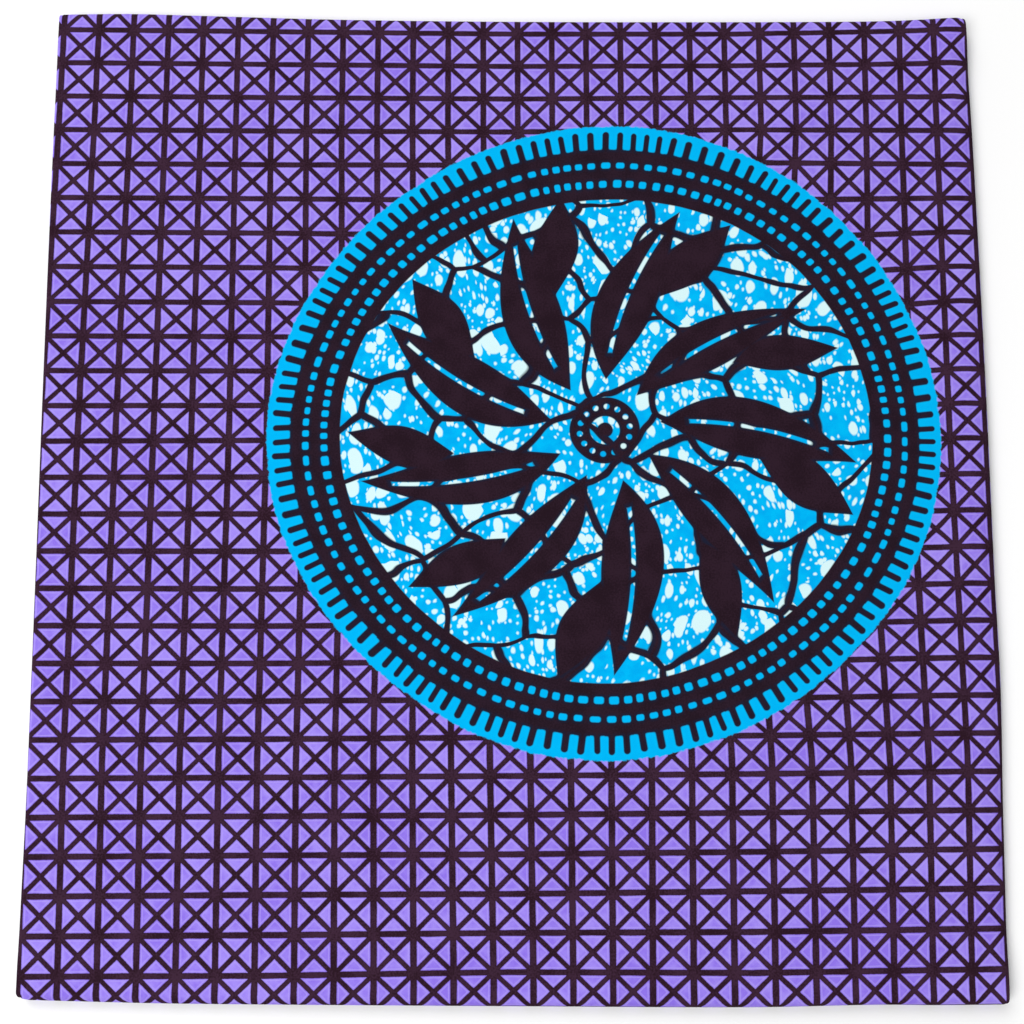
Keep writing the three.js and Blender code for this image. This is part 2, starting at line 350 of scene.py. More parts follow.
def outline_at(x, y):
    """From the plain rectangle to the real outline."""
    left = table_at(SIDE_EDGES, "y", y, "left")
    right = table_at(SIDE_EDGES, "y", y, "right")
    near = table_at(TURN_EDGES, "x", x, "near")
    far = table_at(TURN_EDGES, "x", x, "far")
    real_x = left + (right - left) * (x + HALF_WIDTH) / (2 * HALF_WIDTH)
    real_y = near + (far - near) * (y + HALF_DEPTH) / (2 * HALF_DEPTH)
    return real_x, real_y


def place(x, y, z):
    """From the plain pack to the real one: the outline, swells and corners, over a flat underside."""
    real_x, real_y = outline_at(*round_corners(x, y))
    raised = swell_at(real_x, real_y) * share(z, CLOTH_WALL, PACK_HEIGHT)
    return np.stack([real_x, real_y, z + raised], axis=-1)


def closed_at(y):
    """1 along the pack's sides, falling to 0 at its turns, where the rolled edges open."""
    return smooth_step(share(TURN_CENTRE - np.abs(y), 0, ROLL_OPENS_OVER))


def roll_at(side, y, amount):
    """The roll of the top panel's edge along the pack: its angle, radius and where it starts."""
    full = math.radians(SIDE_ROLLS[side]["degrees"])
    angle = np.maximum(full * amount * closed_at(y), LEAST_ROLL)
    bend = SIDE_ROLLS[side]["radius"] * full / angle
    return angle, bend, HALF_WIDTH - CLOTH_WALL / 2 - bend * np.sin(angle)


def shoulder_at(x, y):
    """How far the top panel falls near its right edge, before the edge rolls down."""
    reached = share(x, HALF_WIDTH - RIGHT_SHOULDER["starts"], HALF_WIDTH - RIGHT_SHOULDER["ends"])
    return RIGHT_SHOULDER["drop"] * smooth_step(reached) * closed_at(y)


def height_under_roll(x, y):
    """The hidden layers' height under the top panel's rolled edges, as a share of the full one."""
    kept = 1 - shoulder_at(x, y) / STACK_HEIGHT
    for side, sign in (("left", -1), ("right", 1)):
        angle, bend, start = roll_at(side, y, 1)
        inside = bend - CLOTH_WALL / 2
        past = np.clip((sign * x - start) / inside, 0, np.sin(angle))
        kept -= inside * (1 - np.sqrt(1 - past**2)) / STACK_HEIGHT
    return kept


def turn_path(end, half_height, squareness, steps):
    """Points of one turn, from one height of the pack to the other, its round squarer where it is pressed."""
    angles = np.pi * (np.arange(1, steps) / steps - 0.5)
    out = np.abs(np.cos(angles)) ** (2 / squareness)
    up = np.sign(angles) * np.abs(np.sin(angles)) ** (2 / squareness)
    return np.stack([end * (TURN_CENTRE + half_height * out), MIDDLE - end * half_height * up], axis=1)


def run_path(start, end, z, spacing):
    steps = max(2, round(abs(end - start) / spacing))
    y = np.linspace(start, end, steps + 1)
    return np.stack([y, np.full_like(y, z)], axis=1)


def ramp_path(start, end, z_start, z_end, steps=8):
    t = np.arange(1, steps) / steps
    return np.stack([start + (end - start) * t, z_start + (z_end - z_start) * smooth_step(t)], axis=1)


def across_rows(values, columns):
    """A value for each row of a surface, the same in all its columns."""
    return np.repeat(np.reshape(values, (-1, 1)), columns, axis=1)


def length_along(path):
    """The distance of each point from the first one, along the path."""
    return np.concatenate([[0], np.cumsum(np.hypot(*np.diff(path, axis=0).T))])


def cells_across(across, along, stations, lines):
    """Lattice cells counted across its lines, whose places are given at stations along them."""
    names = sorted(stations, key=stations.get)
    at = [stations[name] for name in names]
    places = [np.interp(along / MM, at, [line[name] for name in names]) for line in lines]
    total = np.full_like(across, lines[0]["cell"])
    last = len(lines) - 2
    for i in range(last + 1):
        part = (across / MM - places[i]) / (places[i + 1] - places[i])
        low = -np.inf if i == 0 else 0
        high = np.inf if i == last else 1
        total += (lines[i + 1]["cell"] - lines[i]["cell"]) * np.clip(part, low, high)
    return total


def lattice_cells(cloth):
    """Lattice coordinates, in cells, of points given by their metres on the cloth."""
    x = cloth[..., 0]
    y = cloth[..., 1]
    column = cells_across(x, y, COLUMN_STATIONS, COLUMN_LINES)
    row = cells_across(y, x, ROW_STATIONS, ROW_LINES)
    return np.stack([column, row], axis=-1)


# Sections of a rounded edge: how far each point lies through the wall, and how far out, as shares of it
FOLDED_RIM = [(0.86, 0.50), (0.5, 1.0), (0.0, 1.15), (-0.5, 1.0), (-0.86, 0.50)]
CUT_RIM = [(0.80, 0.25), (0.16, 0.20), (0.05, -0.90), (-0.10, 0.25), (-0.80, 0.20)]


def new_object(name, data):
    made = bpy.data.objects.new(name, data)
    bpy.context.collection.objects.link(made)
    return made


def set_cloth_maps(mesh, metres):
    """The two UV maps of a mesh, from the metres on the flat cloth of each corner of its faces."""
    for layer, values in (("cloth", metres), ("lattice", lattice_cells(metres))):
        uv = mesh.uv_layers.get(layer) or mesh.uv_layers.new(name=layer)
        uv.data.foreach_set("uv", values.astype(np.float32).ravel())


def cloth_mesh(name, middle, cloth, outer, inner, cut_rows=()):
    """A closed wall of cloth about its middle surface: a skin on each side and a round edge all round.

    middle holds rows of points, cloth their metres on the flat cloth, and outer and inner how far each
    skin lies from the middle. An edge along one of cut_rows shows the ends of its two plies."""
    rows, columns = middle.shape[:2]
    along = np.gradient(middle, axis=0)
    across = np.gradient(middle, axis=1)
    outward = np.cross(across, along)
    outward /= np.linalg.norm(outward, axis=2, keepdims=True)
    points = [middle + outer * outward, middle - inner * outward]
    vertices = np.concatenate([skin.reshape(-1, 3) for skin in points])
    coordinates = np.concatenate([cloth.reshape(-1, 2)] * 2)
    index = np.arange(rows * columns).reshape(rows, columns)
    inside = index + rows * columns
    corner = [index[:-1, :-1], index[:-1, 1:], index[1:, 1:], index[1:, :-1]]
    back = [inside[:-1, :-1], inside[1:, :-1], inside[1:, 1:], inside[:-1, 1:]]
    faces = [np.stack(c, axis=-1).reshape(-1, 4) for c in (corner, back)]

    border = [(0, j) for j in range(columns - 1)]
    border += [(i, columns - 1) for i in range(rows - 1)]
    border += [(rows - 1, j) for j in range(columns - 1, 0, -1)]
    border += [(i, 0) for i in range(rows - 1, 0, -1)]
    half = (outer + inner) / 2
    centre = (outer - inner) / 2
    loops = [[index[p] for p in border]]
    rim_points = []
    rim_cloth = []
    for step in range(len(FOLDED_RIM)):
        first = len(vertices) + step * len(border)
        loops.append([first + n for n in range(len(border))])
        for i, j in border:
            to_side = middle[i, j] - middle[i, min(max(j, 1), columns - 2)]
            to_end = middle[i, j] - middle[min(max(i, 1), rows - 2), j]
            edge = (to_side / (np.linalg.norm(to_side) + 1e-9)) + (to_end / (np.linalg.norm(to_end) + 1e-9))
            edge /= np.linalg.norm(edge)
            is_cut = i in cut_rows and 0 < j < columns - 1
            through, out = (CUT_RIM if is_cut else FOLDED_RIM)[step]
            rim_points.append(middle[i, j] + outward[i, j] * (centre + half * through) + edge * half * out)
            side = np.array([(j == columns - 1) - (j == 0), (i == rows - 1) - (i == 0)], int)
            rim_cloth.append(cloth[i, j] + side * half * out)
    loops.append([inside[p] for p in border])
    for upper, lower in zip(loops, loops[1:]):
        ring = zip(upper, upper[1:] + upper[:1], lower[1:] + lower[:1], lower)
        faces.append(np.array([(b, a, d, c) for a, b, c, d in ring]))
    vertices = np.concatenate([vertices, np.array(rim_points)])
    coordinates = np.concatenate([coordinates, np.array(rim_cloth)])

    mesh = bpy.data.meshes.new(name)
    mesh.from_pydata(vertices.tolist(), [], np.concatenate(faces).tolist())
    mesh.shade_smooth()
    corner_vertex = np.zeros(len(mesh.loops), np.int32)
    mesh.loops.foreach_get("vertex_index", corner_vertex)
    set_cloth_maps(mesh, coordinates[corner_vertex])
    mesh.validate()
    return new_object(name, mesh)


def rolled_column(sign, roll, step, steps):
    """One column of points on a roll: how far out it lies, how far out on the flat cloth, and its drop."""
    angle, bend, start = roll
    turned = angle * step / steps
    return sign * (start + bend * np.sin(turned)), sign * (start + bend * turned), bend * (1 - np.cos(turned))


def outer_turn_surface(top_spacing):
    """The outer turn's middle surface and its metres on the cloth, row by row along its path."""
    floor_z = MIDDLE - WALL_HALF_HEIGHT
    under_spacing = 5 * top_spacing
    inside_z = floor_z + LEVEL_PITCH
    ramp_start = CUT_END_Y + 16 * MM
    over_cut = CUT_END_Y + 2.5 * MM
    top = run_path(-TURN_CENTRE, TURN_CENTRE, MIDDLE + WALL_HALF_HEIGHT, top_spacing)
    before = [
        run_path(CUT_END_Y, -TURN_CENTRE, floor_z, under_spacing),
        turn_path(-1, WALL_HALF_HEIGHT, NEAR_TURN_SQUARENESS, OUTER_TURN_STEPS),
    ]
    after = [
        turn_path(1, WALL_HALF_HEIGHT, FAR_TURN_SQUARENESS, OUTER_TURN_STEPS),
        run_path(TURN_CENTRE, ramp_start, floor_z, under_spacing),
        ramp_path(ramp_start, over_cut, floor_z, inside_z),
        run_path(over_cut, CUT_END_Y - OUTER_TUCK, inside_z, under_spacing),
    ]
    path = np.concatenate([*before, top, *after])
    first_top = sum(len(part) for part in before)
    rolled = np.zeros(len(path))
    rolled[first_top:first_top + len(top)] = 1
    lengths = length_along(path)
    flat_y = lengths - lengths[first_top] - TURN_CENTRE

    left = roll_at("left", path[:, 0], rolled)
    right = roll_at("right", path[:, 0], rolled)
    columns = [rolled_column(-1, left, i, LEFT_ROLL_STEPS) for i in range(LEFT_ROLL_STEPS, 0, -1)]
    flat_steps = round(2 * HALF_WIDTH / top_spacing)
    for i in range(flat_steps + 1):
        t = i / flat_steps
        x = -left[2] * (1 - t) + right[2] * t
        columns.append((x, x, np.zeros(len(path))))
    columns += [rolled_column(1, right, i, RIGHT_ROLL_STEPS) for i in range(1, RIGHT_ROLL_STEPS + 1)]
    plain_x, flat_x, drop = (np.stack(part, axis=1) for part in zip(*columns))
    plain_y = across_rows(path[:, 0], len(columns))
    plain_z = path[:, 1:] - drop - rolled[:, None] * shoulder_at(plain_x, plain_y)
    middle = place(plain_x, plain_y, plain_z)
    on_top = share(plain_z, MIDDLE, MIDDLE + WALL_HALF_HEIGHT)
    middle[..., 2] += crease_at(middle[..., 0], middle[..., 1]) * on_top**2
    cloth = cloth_metres(flat_x, across_rows(flat_y, len(columns)))
    return middle, cloth


def cloth_metres(flat_x, flat_y):
    """Metres on the cloth of points that are laid out flat on the plain pack, the outline followed."""
    within_y = np.clip(flat_y, -HALF_DEPTH, HALF_DEPTH)
    real_x, real_y = outline_at(flat_x, within_y)
    return np.stack([real_x, real_y + flat_y - within_y], axis=-1)


def hidden_turns_surface(first_length):
    """The middle surface of the flattened spiral inside the outer turn, and its metres on the cloth."""
    floor_z = MIDDLE - WALL_HALF_HEIGHT
    spacing = 14 * MM
    settle_from = CUT_END_Y + 1 * MM
    settle_to = CUT_END_Y + 15 * MM
    parts = []
    turns = []

    def add(path, turn):
        parts.append(path)
        turns.append(np.broadcast_to(turn, len(path)))

    last_turn = PANELS // 2
    for turn in range(1, last_turn + 1):
        level = floor_z + turn * LEVEL_PITCH
        half_height = MIDDLE - level
        if turn == 1:
            add(run_path(CUT_END_Y - HIDDEN_TUCK, -TURN_CENTRE, level, spacing), turn)
        else:
            add(run_path(TURN_CENTRE, settle_to, level - LEVEL_PITCH, spacing), turn)
            add(ramp_path(settle_to, settle_from, level - LEVEL_PITCH, level, 5), turn)
            end = -TURN_CENTRE if turn < last_turn else -TURN_CENTRE + 12 * MM
            add(run_path(settle_from, end, level, spacing), turn)
        if turn < last_turn:
            add(turn_path(-1, half_height, NEAR_TURN_SQUARENESS, HIDDEN_TURN_STEPS), turn)
            add(run_path(-TURN_CENTRE, TURN_CENTRE, PACK_HEIGHT - level, spacing), turn)
            far = turn_path(1, half_height, FAR_TURN_SQUARENESS, HIDDEN_TURN_STEPS)
            add(far, turn + np.arange(1, len(far) + 1) / (len(far) + 1))
    path = np.concatenate(parts)
    turn = np.concatenate(turns)
    flat_y = first_length + length_along(path)

    wander_left = 0.3 * MM * np.sin(11 * flat_y) + 0.15 * MM * np.sin(37 * flat_y + 1)
    wander_right = 0.3 * MM * np.sin(12 * flat_y + 2) + 0.15 * MM * np.sin(41 * flat_y)
    rim = HIDDEN_PLY / 2
    left = -HALF_WIDTH + table_at(HIDDEN_EDGES, "turn", turn, "left") + rim + wander_left
    right = HALF_WIDTH - table_at(HIDDEN_EDGES, "turn", turn, "right") - rim + wander_right
    last_inset = EDGE_INSETS[-1]
    between = np.linspace(0, 1, EVEN_POINTS + 2)[1:-1]
    columns = [left + inset for inset in EDGE_INSETS]
    columns += [left + last_inset + (right - left - 2 * last_inset) * t for t in between]
    columns += [right - inset for inset in EDGE_INSETS[::-1]]
    plain_x = np.stack(columns, axis=1)
    plain_y = across_rows(path[:, 0], len(columns))
    plain_z = across_rows(path[:, 1], len(columns))
    lowest = CLOTH_WALL + HIDDEN_PLY / 2
    plain_z = lowest + (plain_z - lowest) * height_under_roll(plain_x, plain_y)
    middle = place(plain_x, plain_y, plain_z)
    drift = 5 * MM * np.sin(7.3 * flat_y)[:, None] + 3 * MM * np.sin(2.9 * flat_y + 1)[:, None]
    cloth = np.stack([plain_x + drift, across_rows(flat_y, len(columns))], axis=-1)
    return middle, cloth


def math_method(operation):
    """A method of Wire that adds one kind of Math node."""
    return lambda wire, *others: wire.math(operation, *others)


class Wire:
    """The output of a node. Python's operators on it add Math nodes."""

    def __init__(self, nodes, socket):
        self.nodes = nodes
        self.socket = socket

    def math(self, operation, *others, clamp=False):
        settings = {"operation": operation, "use_clamp": clamp}
        return self.nodes.add("ShaderNodeMath", settings, dict(enumerate((self, *others))))

    __add__ = __radd__ = math_method("ADD")
    __sub__ = math_method("SUBTRACT")
    __mul__ = __rmul__ = math_method("MULTIPLY")
    __truediv__ = math_method("DIVIDE")
    __abs__ = math_method("ABSOLUTE")
    smaller = math_method("MINIMUM")
    larger = math_method("MAXIMUM")
    rounded_smaller = math_method("SMOOTH_MIN")
    rounded_larger = math_method("SMOOTH_MAX")
    below = math_method("LESS_THAN")
    above = math_method("GREATER_THAN")
    fraction = math_method("FRACT")
    whole = math_method("FLOOR")
    sine = math_method("SINE")

    def __rsub__(self, other):
        return self.nodes.add("ShaderNodeMath", {"operation": "SUBTRACT"}, {0: other, 1: self})

    def __neg__(self):
        return self * -1

    def clamped(self):
        return self.math("ADD", 0.0, clamp=True)

    def from_line(self):
        """The distance to the nearest whole number."""
        return abs((self + 0.5).fraction() - 0.5)

    def near(self, at, reach):
        """1 where a distance has a value, falling to 0 over a reach on both sides."""
        return (1 - abs(self - at) / reach).clamped()

    def inside(self, soft):
        """1 where a signed distance is below zero and 0 above, over a soft edge."""
        return (0.5 - self / soft).clamped()


class Nodes:
    """Adds nodes to a tree: settings first, then the values or wires of the sockets."""

    def __init__(self, tree):
        self.tree = tree

    def add(self, kind, settings=None, inputs=None, output=0):
        node = self.tree.nodes.new(kind)
        for key, value in (settings or {}).items():
            setattr(node, key, value)
        for key, value in (inputs or {}).items():
            if isinstance(value, Wire):
                self.tree.links.new(value.socket, node.inputs[key])
            else:
                node.inputs[key].default_value = value
        return Wire(self, node.outputs[output]) if node.outputs else None

    def mix(self, factor, first, second, blend="MIX"):
        settings = {"data_type": "RGBA", "blend_type": blend}
        return self.add("ShaderNodeMix", settings, {0: factor, 6: first, 7: second}, output=2)

    def vector(self, operation, first, second=(0, 0, 0), scale=1.0, output=0):
        inputs = {0: first, 1: second}
        if operation == "SCALE":
            inputs = {0: first, "Scale": scale}
        return self.add("ShaderNodeVectorMath", {"operation": operation}, inputs, output)

    def uv(self, name):
        return self.add("ShaderNodeUVMap", {"uv_map": name})

    def parts(self, vector):
        node = self.tree.nodes.new("ShaderNodeSeparateXYZ")
        self.tree.links.new(vector.socket, node.inputs[0])
        return Wire(self, node.outputs[0]), Wire(self, node.outputs[1])

    def joined(self, x, y):
        return self.add("ShaderNodeCombineXYZ", None, {0: x, 1: y})

    def length(self, x, y):
        return self.vector("LENGTH", self.joined(x, y), output=1)

    def grey(self, value):
        return self.add("ShaderNodeCombineColor", None, {0: value, 1: value, 2: value})

    def noise(self, vector, size, detail=2.0, output=0):
        """Noise about 0 to 1, with features of a size in metres."""
        inputs = {"Vector": vector, "Scale": 1 / size, "Detail": detail}
        return self.add("ShaderNodeTexNoise", {"noise_dimensions": "2D"}, inputs, output)

    def waver(self, vector, size, amount, detail=2.0):
        """Noise about 0, by up to half an amount."""
        return (self.noise(vector, size, detail) - 0.5) * amount

    def warped(self, vector, size, amount):
        """The place on the cloth, moved about by up to half an amount."""
        push = self.vector("SUBTRACT", self.noise(vector, size, 1.0, output=1), (0.5, 0.5, 0.5))
        return self.vector("ADD", vector, self.vector("SCALE", push, scale=amount))

    def cells(self, vector, size, feature="F1", output=0):
        """Irregular cells of a size in metres: their distance or their own random colour."""
        settings = {"voronoi_dimensions": "2D", "feature": feature}
        return self.add("ShaderNodeTexVoronoi", settings, {"Vector": vector, "Scale": 1 / size}, output)

    def surface(self, inputs):
        """A Principled shader as the material's surface."""
        shader = self.add("ShaderNodeBsdfPrincipled", None, inputs)
        self.add("ShaderNodeOutputMaterial", None, {"Surface": shader})

    def chance(self, number):
        """A random value for each whole number."""
        return self.add("ShaderNodeTexWhiteNoise", {"noise_dimensions": "1D"}, {"W": number})


def new_material(name):
    """A material and its nodes, none of them added yet."""
    material = bpy.data.materials.new(name)
    material.use_nodes = True
    material.node_tree.nodes.clear()
    return material, Nodes(material.node_tree)


def paint(colour):
    """A colour given as it is seen on a screen, as the light that a shader needs."""
    return tuple(c / 12.92 if c <= 0.04045 else ((c + 0.055) / 1.055) ** 2.4 for c in colour) + (1.0,)


def lattice_distance(nodes, cell, cloth):
    """Signed distance, in cells, to squares of lines with both diagonals and a blot where they meet."""
    x, y = nodes.parts(cloth)
    column, row = nodes.parts(cell)
    dropped = ((ROUNDEL_FAR_Y - y) / (ROUNDEL_FAR_Y - ROUNDEL_NEAR_Y)).clamped()
    column = column + dropped * x.above(ROUNDEL_CENTRE[0])
    waver = nodes.waver(cloth, 9 * MM, 0.016)
    bleed = nodes.waver(cloth, 0.9 * MM, 0.012, 1.0)
    upright = column.from_line() - LATTICE_LINES["upright"]
    level = row.from_line() - LATTICE_LINES["level"]
    falling = (column + row).from_line() * math.sqrt(0.5) - LATTICE_LINES["diagonal"]
    rising = (column - row).from_line() * math.sqrt(0.5) - LATTICE_LINES["diagonal"]
    blot = nodes.length(column.from_line(), row.from_line()) - LATTICE_LINES["blot"]
    join = LATTICE_LINES["join"]
    straight = upright.rounded_smaller(level, join)
    slanted = falling.rounded_smaller(rising, join)
    return straight.rounded_smaller(slanted, 0.02).rounded_smaller(blot, join) + waver + bleed


def dark_ink(nodes, cloth, outline, light, deep, edge):
    """Dark print: another tone at its outline, and mottled inside."""
    tone = nodes.noise(cloth, 15 * MM, 1.0) * 0.45 + nodes.noise(cloth, 1.1 * MM, 2.0) * 0.55
    body = nodes.mix(((tone - 0.38) * 4.4).clamped(), paint(deep), paint(light))
    return nodes.mix((outline * 0.85).clamped(), body, paint(edge))


def lattice_print(nodes, cell, cloth, colours):
    """Purple ground with the plum lattice on it."""
    distance = lattice_distance(nodes, cell, cloth)
    broad = nodes.noise(cloth, 60 * MM, 1.0)
    fine = nodes.noise(cloth, 5 * MM, 3.0)
    shade = ((broad + fine - 1.0) * 2.0 + 0.5).clamped()
    ground = nodes.mix(shade, paint(colours.purple_deep), paint(colours.purple))
    rim = distance.near(0.040, 0.024) * 0.70
    ground = nodes.mix(rim, ground, paint(colours.purple_pale))
    outline = distance.near(-0.012, 0.024)
    ink = dark_ink(nodes, cloth, outline, colours.plum, colours.plum_deep, colours.plum_edge)
    return nodes.mix(distance.inside(LATTICE_EDGE), ground, ink)


def soft_box(nodes, x, y, half_x, half_y, corner):
    """Signed distance to a box with round corners, from its middle."""
    over_x = (abs(x) - (half_x - corner)).larger(0.0)
    over_y = (abs(y) - (half_y - corner)).larger(0.0)
    return nodes.length(over_x, over_y) - corner


def lobes(angle, rows):
    """A number near 1 that wavers round the ring."""
    total = 1
    for row in rows:
        total = total + (angle * row["lobes"] + math.radians(row["degrees"])).sine() * row["amount"]
    return total


def round_the_ring(nodes, angle):
    """A place on a circle, the same from the ring's inside to its rim."""
    return nodes.joined((angle + math.pi / 2).sine() * 0.2, angle.sine() * 0.2)


def ring_row(nodes, angle, radius, cloth, at, tall, wide, seed):
    """A ring of small round-cornered squares, uneven as they are cut by hand."""
    drift = nodes.waver(round_the_ring(nodes, angle), 42 * MM, 1.0, 0.0)
    count = angle / RING_STEP + drift + seed
    index = (count + 0.5).whole()
    along = (count - index) * radius * RING_STEP
    odd = nodes.chance(index + 300 * seed) - 0.5
    other = nodes.chance(index + 300 * seed + 77) - 0.5
    off = radius - at - nodes.waver(cloth, 30 * MM, 0.004, 0.0) - other * 0.0016
    return soft_box(nodes, along + odd * 0.003, off, wide + other * 0.003, tall + odd * 0.0018, 0.0064)


def ring_teeth(nodes, angle, radius):
    """Signed distance to the bright slots between the round-ended teeth, and the rim that joins them."""
    drift = nodes.waver(round_the_ring(nodes, angle), 48 * MM, 1.0, 0.0)
    count = angle / RING_STEP + drift
    index = (count + 0.5).whole()
    odd = nodes.chance(index) - 0.5
    along = (count - index) * radius * RING_STEP + odd * (radius - 0.95) * 0.12
    half_tooth = TOOTH["half_wide"] + odd * 0.0012
    tip = TOOTH["tip"] + odd * 0.004
    past_tip = (radius - tip).larger(0.0)
    tooth = nodes.length(along, past_tip) - half_tooth
    root = TOOTH["root"] + odd * 0.002
    return (root - radius).rounded_larger(-tooth, 0.010)


def bubbles(nodes, cloth, size, least, most, share_of_cells):
    """White flecks where the colour didn't take: round or longish, uneven, and of many sizes."""
    ragged = nodes.warped(nodes.warped(cloth, 50 * MM, 18 * MM), 1.6 * MM, 0.30 * MM)
    stretched = nodes.vector("MULTIPLY", ragged, (1.0, 0.72, 1.0))
    moved = nodes.warped(stretched, size * 0.9, size * 0.24)
    away = nodes.cells(moved, size)
    luck, other = nodes.parts(nodes.cells(moved, size, output=1))
    reach = other * other * (most - least) + least
    return (away - reach).inside(0.6 * MM / size) * luck.below(share_of_cells)


def petals(nodes, angle, radius, count, first, inner, outer, half_width, twist):
    """Signed distance to a ring of pointed leaves, their own lengths and widths a little different."""
    step = 2 * math.pi / count
    turned = (angle + (radius - inner) * twist) / step + first
    index = (turned + 0.5).whole()
    odd = nodes.chance(index * 1.7 + 10 * count) - 0.5
    along = radius - odd * 0.03
    across = (turned - index) * step * radius
    grown = ((along - inner) / (outer - inner)).clamped()
    width = (grown * math.pi).sine() * (half_width + odd * 0.02) * (1.25 - grown * 0.45)
    leaf = (abs(across) - width).larger(along - outer).larger(inner - along)
    return leaf, abs(across), grown


def roundel_disc(nodes, angle, radius, cloth, colours):
    """A rosette of dark leaves over a bright, flecked ground with dark branching lines."""
    flecks, spots, specks = (bubbles(nodes, cloth, **row) for row in FLECKS)
    tone = (nodes.waver(cloth, 7 * MM, 3.0) + 0.5).clamped()
    cyan = nodes.mix(tone, paint(colours.cyan_deep), paint(colours.cyan))
    ground = nodes.mix(flecks.larger(spots).larger(specks), cyan, paint(colours.white))

    curved = nodes.warped(nodes.warped(cloth, 70 * MM, 34 * MM), 20 * MM, 6 * MM)
    curved = nodes.vector("MULTIPLY", curved, (0.76, 1.0, 1.0))
    branches = nodes.cells(curved, BRANCHES["cell"], "DISTANCE_TO_EDGE")
    branches = branches * BRANCHES["cell_share"] - BRANCHES["half_wide"]
    buds, leaves = (petals(nodes, angle, radius, **row) for row in LEAF_RINGS)
    leaf, off_rib, grown = leaves
    from_middle = abs(grown - 0.5) * MIDRIB["leaf_length"]
    midrib = (off_rib - MIDRIB["half_wide"]).larger(from_middle - MIDRIB["half_long"])
    leaf = leaf.larger(-midrib)
    heart = radius - HEART["edge"]
    seed_step = 2 * math.pi / HEART["seeds"]
    along = ((angle / seed_step).from_line() * seed_step) * HEART["seed_row"]
    seed_row = nodes.length(along, radius - HEART["seed_row"]) - HEART["seed"]
    eye = abs(radius - HEART["eye"]) - HEART["eye_line"]
    heart = heart.larger(-seed_row).larger(-eye)
    dark = branches.rounded_smaller(leaf, LEAF_JOIN).rounded_smaller(buds[0], LEAF_JOIN).smaller(heart)
    outline = dark.near(-0.003, 0.006)
    ink = dark_ink(nodes, cloth, outline, colours.leaf, colours.leaf_deep, colours.blue_black)
    return nodes.mix(dark.inside(PRINT_EDGE), ground, ink)


def roundel_print(nodes, cloth, colours):
    """The roundel: how much of the print it covers, and its colour."""
    centred = nodes.vector("SUBTRACT", cloth, (*ROUNDEL_CENTRE, 0))
    turn_back = {"Vector": centred, "Angle": -ROUNDEL_TURN}
    turned = nodes.add("ShaderNodeVectorRotate", {"rotation_type": "Z_AXIS"}, turn_back)
    shares = nodes.vector("MULTIPLY", turned, (1 / ROUNDEL_HALF_LONG, 1 / ROUNDEL_HALF_SHORT, 0))
    x, y = nodes.parts(shares)
    angle = y.math("ARCTAN2", x)
    radius = nodes.vector("LENGTH", shares, output=1) / lobes(angle, RIM_LOBES)
    within = 1 - (1 - radius) / lobes(angle, DEPTH_LOBES)

    teeth = ring_teeth(nodes, angle, within)
    outer_row, inner_row = (ring_row(nodes, angle, within, cloth, **row) for row in RING_ROWS)
    bright = teeth.smaller(outer_row).smaller(inner_row)
    overprint = (1 - (bright - 0.002) / 0.008).clamped()
    ink = dark_ink(nodes, cloth, overprint, colours.ring, colours.ring_deep, colours.blue_black)
    deepened = ((bright + 0.010) / 0.010).clamped() * 0.35 + nodes.noise(cloth, 6 * MM) * 0.6 + 0.3
    cyan_tone = nodes.mix(deepened, paint(colours.cyan_deep), paint(colours.cyan))
    ring = nodes.mix(bright.inside(PRINT_EDGE), ink, cyan_tone)
    disc = roundel_disc(nodes, angle, radius, cloth, colours)
    edge = within - DISC_EDGE - nodes.waver(cloth, 20 * MM, 0.004)
    ring = nodes.mix(edge.inside(PRINT_EDGE), ring, disc)
    ragged = nodes.waver(cloth, 2.6 * MM, 0.010, 3.0) + nodes.waver(cloth, 24 * MM, 0.010)
    return (radius - 1.0 + ragged).inside(0.004), ring


def printed_cotton(colours):
    """Wax print cotton: the print on a plain weave, matt, with the yarns and small puckers as relief."""
    material, nodes = new_material(COTTON)
    cloth = nodes.uv("cloth")
    lattice = lattice_print(nodes, nodes.uv("lattice"), cloth, colours)
    covered, roundel = roundel_print(nodes, cloth, colours)
    colour = nodes.mix(covered, lattice, roundel)
    grain = nodes.waver(cloth, 0.7 * MM, 0.10, 1.0) + 0.5
    colour = nodes.mix(1.0, colour, nodes.grey(grain), "SOFT_LIGHT")

    x, y = nodes.parts(cloth)
    weave = (x * (math.pi / YARN)).sine() * (y * (math.pi / YARN)).sine()
    height = weave * 0.5 + nodes.noise(cloth, 1.6 * MM, 2.0) * 0.8
    relief = nodes.add("ShaderNodeBump", None, {"Strength": 0.5, "Distance": YARN_RELIEF, "Height": height})
    pucker = nodes.noise(nodes.vector("MULTIPLY", cloth, (1.0, 1.6, 1.0)), 22 * MM, 2.0)
    puckered = {"Strength": 0.6, "Distance": PUCKER_RELIEF, "Height": pucker, "Normal": relief}
    relief = nodes.add("ShaderNodeBump", None, puckered)
    roughness = 0.80 + nodes.noise(cloth, 8 * MM) * 0.12
    gloss = {"Roughness": roughness, "Specular IOR Level": 0.02}
    nodes.surface({"Base Color": colour, "Normal": relief, **gloss})
    return material


